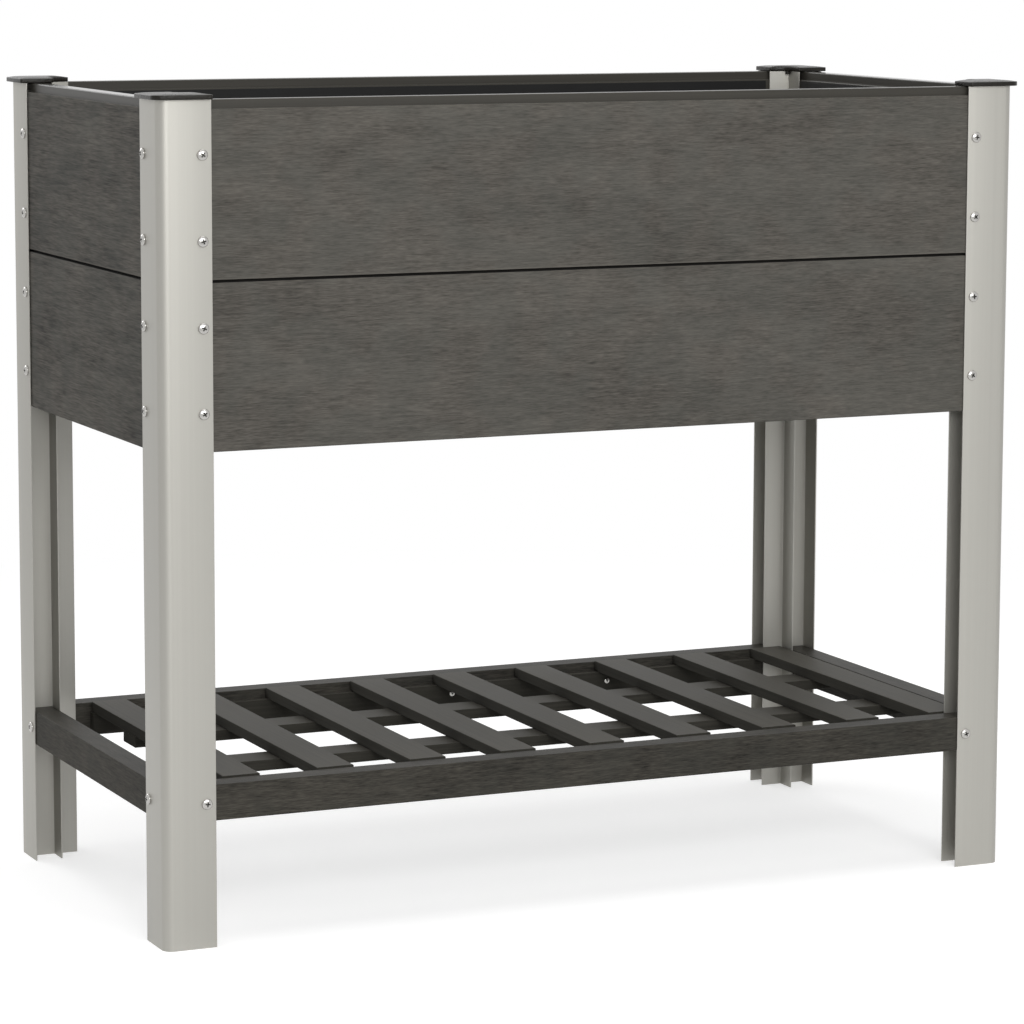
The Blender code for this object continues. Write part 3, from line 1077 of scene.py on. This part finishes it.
@dataclass
class Screws:
    """Stainless pan-head screws with a cross recess, on both faces of every leg and along the ledges."""

    outline: Outline
    finish: StainlessSteel = StainlessSteel("screw_steel", (0.46, 0.45, 0.43), roughness=0.14)
    # Painted shade: a dark copy of the steel for the inside of the cross recess.
    recess_finish: StainlessSteel = StainlessSteel("screw_recess_shade", (0.07, 0.068, 0.062), roughness=0.4)
    radius: float = 5.8 * MM
    height: float = 3.2 * MM
    rim: float = 0.9 * MM
    seat_share: float = 0.985
    dome_power: float = 0.9
    dome_steps: int = 12
    sides: int = 48
    smooth_angle: float = 35.0
    recess_width: float = 1.9 * MM
    recess_reach: float = 3.7 * MM
    recess_depth: float = 1.9 * MM
    recess_taper: float = 0.55
    recess_edge: float = 0.15 * MM
    rim_share: float = 0.8
    spins: Triple = (37.0, 13.0, 29.0)
    per_leg: int = 5
    ledge_radius: float = 3.4 * MM
    ledge_height: float = 1.8 * MM
    ledge_spacing: float = 0.2035
    ledge_middle: float = -0.08125
    ledge_count: int = 4

    def head(self, name: str, radius: float, height: float) -> bpy.types.Mesh:
        """Turn a head and cut its cross recess.

        Args:
            name: the mesh's name.
            radius: the head's radius.
            height: the head's height.

        Returns:
            The head's mesh, standing on zero.
        """
        share = radius / self.radius
        rim = self.rim * height / self.height
        turns = [pi / 2 * step / self.dome_steps for step in range(self.dome_steps + 1)]
        dome = [(radius * sin(turn), rim + (height - rim) * cos(turn) ** self.dome_power) for turn in turns]
        profile = [*dome, (radius * self.seat_share, 0), (0, 0)]
        guide = bpy.data.objects.new(name, turned(name, profile, self.sides))
        cutter = bpy.data.objects.new(f"{name}_recess", self.recess(share, height))
        bpy.context.scene.collection.objects.link(cutter)
        cut = guide.modifiers.new("recess", "BOOLEAN")
        cut.operation = "DIFFERENCE"
        cut.object = cutter
        mesh = mesh_of(guide, name)
        bpy.data.objects.remove(cutter, do_unlink=True)
        # Painted shade: faces sunk in the cross recess take the dark recess material.
        for face in mesh.polygons:
            away = min(face.center.xy.length / radius, 1.0)
            dome_height = rim + (height - rim) * sqrt(1 - away**2)
            sunk = face.center.z < dome_height - self.recess_edge
            face.material_index = int(sunk and away < self.rim_share)
        return shade(mesh, self.smooth_angle)

    def recess(self, share: float, height: float) -> bpy.types.Mesh:
        """Model the tool's cross, narrower at its point.

        Args:
            share: its size as a share of the large screw's.
            height: the head's height.

        Returns:
            The cross, which cuts the recess.
        """
        wide, reach = self.recess_width / 2 * share, self.recess_reach * share
        arm = [(reach, -wide), (reach, wide), (wide, wide)]
        cross: list[Point] = []
        for _ in range(4):
            cross += arm
            arm = [(-y, x) for x, y in arm]  # a quarter turn on
        mesh = extrusion("recess", [cross], 2 * self.recess_depth * share)
        mesh.transform(Matrix.Translation((0, 0, height - self.recess_depth * share)))
        for vertex in mesh.vertices:
            if vertex.co.z < height:
                vertex.co.xy *= self.recess_taper
        return mesh

    def build(self) -> list[bpy.types.Object]:
        """Make every screw.

        Returns:
            The screws of the legs, then those of the ledges.
        """
        large = self.head("screw_head", self.radius, self.height)
        small = self.head("ledge_screw_head", self.ledge_radius, self.ledge_height)
        material, recess = self.finish.build(), self.recess_finish.build()
        for mesh in (large, small):
            mesh.materials.append(material)
            mesh.materials.append(recess)
        legs = [piece for corner in Corner for piece in self.leg_screws(corner, large, material)]
        return legs + self.ledge_screws(small, material)

    def leg_screws(
        self, corner: Corner, mesh: bpy.types.Mesh, material: bpy.types.Material
    ) -> list[bpy.types.Object]:
        """Put the screws on a leg's two outer faces.

        Args:
            corner: the leg's corner.
            mesh: the large head.
            material: its finish.

        Returns:
            The leg's screws.
        """
        label, sign_x, sign_y, _ = corner.value
        half_x, half_y = self.outline.half_x, self.outline.half_y
        by_number, by_x, by_y = self.spins
        pieces = []
        for number in range(1, self.per_leg + 1):
            node = f"screw_{label}_{number}"
            low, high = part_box(node)
            centre = (low + high) / 2
            from_end = half_x - abs(centre.x)
            spin = Matrix.Rotation(radians(by_number * number + by_x * sign_x + by_y * sign_y), 4, "Z")
            long_side = Matrix.Translation((centre.x, sign_y * half_y, centre.z))
            place = long_side @ Matrix.Rotation(-sign_y * pi / 2, 4, "X") @ spin
            pieces.append(fit(f"{node}_long_side", mesh, place, material, [node]))
            short_side = Matrix.Translation((sign_x * half_x, sign_y * (half_y - from_end), centre.z))
            place = short_side @ Matrix.Rotation(sign_x * pi / 2, 4, "Y") @ spin
            pieces.append(fit(f"{node}_short_side", mesh, place, material))
        return pieces

    def ledge_screws(self, mesh: bpy.types.Mesh, material: bpy.types.Material) -> list[bpy.types.Object]:
        """Put small screws along the shelf ledges' inner faces.

        Args:
            mesh: the small head.
            material: its finish.

        Returns:
            The ledge screws.
        """
        pieces = []
        for side, sign in (("front", -1), ("back", 1)):
            low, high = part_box(f"shelf_ledge_{side}")
            face = high.y if sign < 0 else low.y
            for number in range(self.ledge_count):
                x = self.ledge_middle + (number - (self.ledge_count - 1) / 2) * self.ledge_spacing
                spot = Matrix.Translation((x, face, (low.z + high.z) / 2))
                place = spot @ Matrix.Rotation(sign * pi / 2, 4, "X")
                name = f"ledge_screw_{side}_{number + 1}"
                pieces.append(fit(name, mesh, place, material))
        return pieces


@dataclass
class Boards:
    """The wall planks, with coarser and shinier ones on the short sides, and the shelf's rails."""

    outline: Outline
    flange_to_board: float = 2.0 * MM
    rows: int = 2
    plank_colour: Colour = (0.0865, 0.0803, 0.0700)
    plank_faded: Colour = (0.080, 0.0838, 0.0754)
    rail_colour: Colour = (0.045, 0.0415, 0.0345)
    rail_faded: Colour = (0.037, 0.038, 0.033)
    rail_contrast: float = 0.75
    short_side: dict[str, float] = field(
        default_factory=lambda: {
            "grain_length": 2.2,
            "grain_width": 1.8,
            "contrast": 0.78,
            "side_roughness": 0.34,
            "top_roughness": 0.14,
        }
    )

    def dress(self, nodes: dict[str, bpy.types.Object]) -> list[bpy.types.Object]:
        """Give the boards their finishes.

        Args:
            nodes: the frame's nodes.

        Returns:
            The boards.
        """
        pieces = []
        faces = {Run.ALONG_X: ("front", "back"), Run.ALONG_Y: ("left", "right")}
        for run, sides in faces.items():
            half = self.outline.half_y if run is Run.ALONG_X else self.outline.half_x
            outer = half - self.flange_to_board
            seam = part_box(f"plank_row_{self.rows}_{sides[0]}")[0].z
            changes = {} if run is Run.ALONG_X else self.short_side
            finish = BrushedComposite("brushed_plank", run, self.plank_colour, self.plank_faded)
            plank = replace(finish, outer=outer, seam=seam, **changes).build()
            finish = BrushedComposite("brushed_rail", run, self.rail_colour, self.rail_faded)
            rail = replace(finish, contrast=self.rail_contrast).build()
            for side in sides:
                for row in range(1, self.rows + 1):
                    pieces.append(paint(nodes[f"plank_row_{row}_{side}"], plank))
                pieces.append(paint(nodes[f"shelf_rail_{side}"], rail))
        return pieces


@dataclass
class SmoothBoards:
    """The shelf's slats, battens and ledges, and the floor with its ledges."""

    slats: int = 9

    def dress(self, nodes: dict[str, bpy.types.Object]) -> list[bpy.types.Object]:
        """Give the smooth boards their finishes.

        Args:
            nodes: the frame's nodes.

        Returns:
            The smooth boards.
        """
        across = SmoothComposite(Run.ALONG_Y).build()
        along = SmoothComposite(Run.ALONG_X).build()
        slats = [paint(nodes[f"shelf_slat_{number}"], across) for number in range(1, self.slats + 1)]
        names = [
            f"{board}_{side}"
            for board in ("shelf_batten", "shelf_ledge", "floor_ledge")
            for side in ("front", "back")
        ]
        return slats + [paint(nodes[name], along) for name in [*names, "floor_panel"]]


@dataclass
class Liner:
    """Thin black sheets on the box's inner walls."""

    finish: MouldedPlastic = MouldedPlastic(
        "liner_plastic", colour=(0.009, 0.009, 0.009), roughness=0.5, grain=Layer(900, 900), sheen=0.18
    )

    def dress(self, nodes: dict[str, bpy.types.Object]) -> list[bpy.types.Object]:
        """Give the sheets their finish.

        Args:
            nodes: the frame's nodes.

        Returns:
            The sheets.
        """
        material = self.finish.build()
        return [paint(nodes[f"liner_{side}"], material) for side in ("front", "back", "left", "right")]


def paint(node: bpy.types.Object, material: bpy.types.Material) -> bpy.types.Object:
    """Give a node of the frame a new finish.

    Args:
        node: the node's object.
        material: the finish.

    Returns:
        The node's object.
    """
    for slot in node.material_slots:
        slot.material = material
    return node


# ---- the studio


@dataclass
class Lamp:
    """A soft rectangular lamp that looks at the planter."""

    name: str
    place: Triple
    size: Point
    watts: float

    def build(self, target: Vector) -> bpy.types.Object:
        """Hang the lamp.

        Args:
            target: the point that it looks at.

        Returns:
            The lamp.
        """
        data = bpy.data.lights.new(self.name, "AREA")
        data.shape = "RECTANGLE"
        data.size, data.size_y = self.size
        data.energy = self.watts
        lamp = bpy.data.objects.new(self.name, data)
        lamp.location = self.place
        lamp.rotation_euler = (target - Vector(self.place)).to_track_quat("-Z", "Y").to_euler()
        bpy.context.scene.collection.objects.link(lamp)
        return lamp


@dataclass
class Studio:
    """A pale floor, a white surround, soft lamps and the camera."""

    floor_size: float = 60.0
    floor_colour: Colour = (0.62, 0.62, 0.62)
    floor_contrast: float = 0.005
    floor_roughness: float = 0.9
    floor_cloud: Layer = Layer(1.5, 1.5, detail=1)
    floor_glow: float = 0.62
    shadow_reach: Point = (1.0, 2.2)
    surround: float = 0.42
    azimuth: float = -24.2
    elevation: float = 7.61
    roll: float = 0.16
    distance: float = 4.45
    lens: float = 140.1
    shift: float = -0.06
    aim: Triple = (-0.0138, -0.0401, 0.4734)
    lamps: tuple[Lamp, ...] = (
        Lamp("key", place=(-0.4, -3.9, 1.75), size=(3.6, 1.5), watts=96),
        Lamp("back", place=(-1.8, 3.7, 2.2), size=(1.8, 1.6), watts=31),
        Lamp("top", place=(0.0, -0.4, 3.3), size=(2.4, 1.8), watts=26),
    )

    def floor(self) -> bpy.types.Object:
        """Lay the floor: pale, with the planter's shadow, and plain white farther out.

        Returns:
            The floor.
        """
        mesh = bpy.data.meshes.new("studio_floor")
        edit = bmesh.new()
        bmesh.ops.create_grid(edit, x_segments=1, y_segments=1, size=self.floor_size / 2)
        edit.to_mesh(mesh)
        edit.free()
        mesh.materials.append(self.floor_finish())
        floor = bpy.data.objects.new("studio_floor", mesh)
        bpy.context.scene.collection.objects.link(floor)
        return floor

    def floor_finish(self) -> bpy.types.Material:
        """Make the floor's material, which blends from shaded to white.

        Returns:
            The material.
        """
        graph = material_graph("studio_floor")
        seen = graph.seen()
        cloud = self.floor_cloud.noise(graph, Run.ALONG_X)
        colour = graph.between(cloud, self.floor_colour, self.floor_contrast)
        graph.finish(Base_Color=colour, Roughness=self.floor_roughness)
        shaded = Value(graph, graph.tree.nodes["Principled BSDF"].outputs[0])
        glow = graph.node("ShaderNodeEmission", inputs={"Strength": seen * self.floor_glow})
        near = graph.node("ShaderNodeAddShader", inputs={0: shaded, 1: glow})
        white = graph.node("ShaderNodeEmission", inputs={"Strength": 1.0})
        settings = {"operation": "LENGTH"}
        away = graph.node("ShaderNodeVectorMath", settings, {0: graph.place()}, output="Value")
        far = seen * away.ramp(*self.shadow_reach)
        both = graph.node("ShaderNodeMixShader", inputs={0: far, 1: near, 2: white})
        return graph.finish("Material Output", Surface=both)

    def world(self) -> bpy.types.World:
        """Surround the planter with white for the camera and for reflections, and with less for light.

        Returns:
            The world.
        """
        graph = Graph(bpy.data.worlds.new("surround"))
        strength = self.surround + graph.seen() * (1 - self.surround)
        world = graph.finish("Background", Color=(1, 1, 1, 1), Strength=strength)
        bpy.context.scene.world = world
        return world

    def camera(self) -> bpy.types.Object:
        """Set up the camera.

        Returns:
            The camera.
        """
        turn, rise = radians(self.azimuth), radians(self.elevation)
        back = Vector((sin(turn) * cos(rise), -cos(turn) * cos(rise), sin(rise)))
        data = bpy.data.cameras.new("camera")
        data.lens = self.lens
        data.shift_y = self.shift
        camera = bpy.data.objects.new("camera", data)
        camera.location = Vector(self.aim) + back * self.distance
        facing = (-back).to_track_quat("-Z", "Y").to_matrix().to_4x4()
        camera.rotation_euler = (facing @ Matrix.Rotation(radians(self.roll), 4, "Z")).to_euler()
        bpy.context.scene.collection.objects.link(camera)
        bpy.context.scene.camera = camera
        return camera

    def build(self) -> list[bpy.types.Object]:
        """Set up the studio.

        Returns:
            The camera, the floor and the lamps.
        """
        bpy.context.scene.view_settings.view_transform = "Standard"
        self.world()
        target = Vector(self.aim)
        return [self.camera(), self.floor(), *(lamp.build(target) for lamp in self.lamps)]


def report(what: str, pieces: Iterable[bpy.types.Object]) -> None:
    """Log what was made.

    Args:
        what: the sub-assembly.
        pieces: its objects.
    """
    for piece in pieces:
        LOG.info("%s: %s", what, piece.name)


def main() -> None:
    """Build the planter's looks in order."""
    logging.basicConfig(level=logging.INFO, format="%(name)s %(message)s")
    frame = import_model()
    for name in STARTUP_OBJECTS:
        if name in bpy.data.objects:
            bpy.data.objects.remove(bpy.data.objects[name], do_unlink=True)
    nodes = frame["nodes"]
    outline = Outline()
    report("studio", Studio().build())
    legs = Legs(outline)
    report("legs", legs.build())
    report("caps", Caps(outline, legs).build())
    report("screws", Screws(outline).build())
    report("boards", Boards(outline).dress(nodes))
    report("smooth boards", SmoothBoards().dress(nodes))
    report("liner", Liner().dress(nodes))


if __name__ == "__main__":
    main()
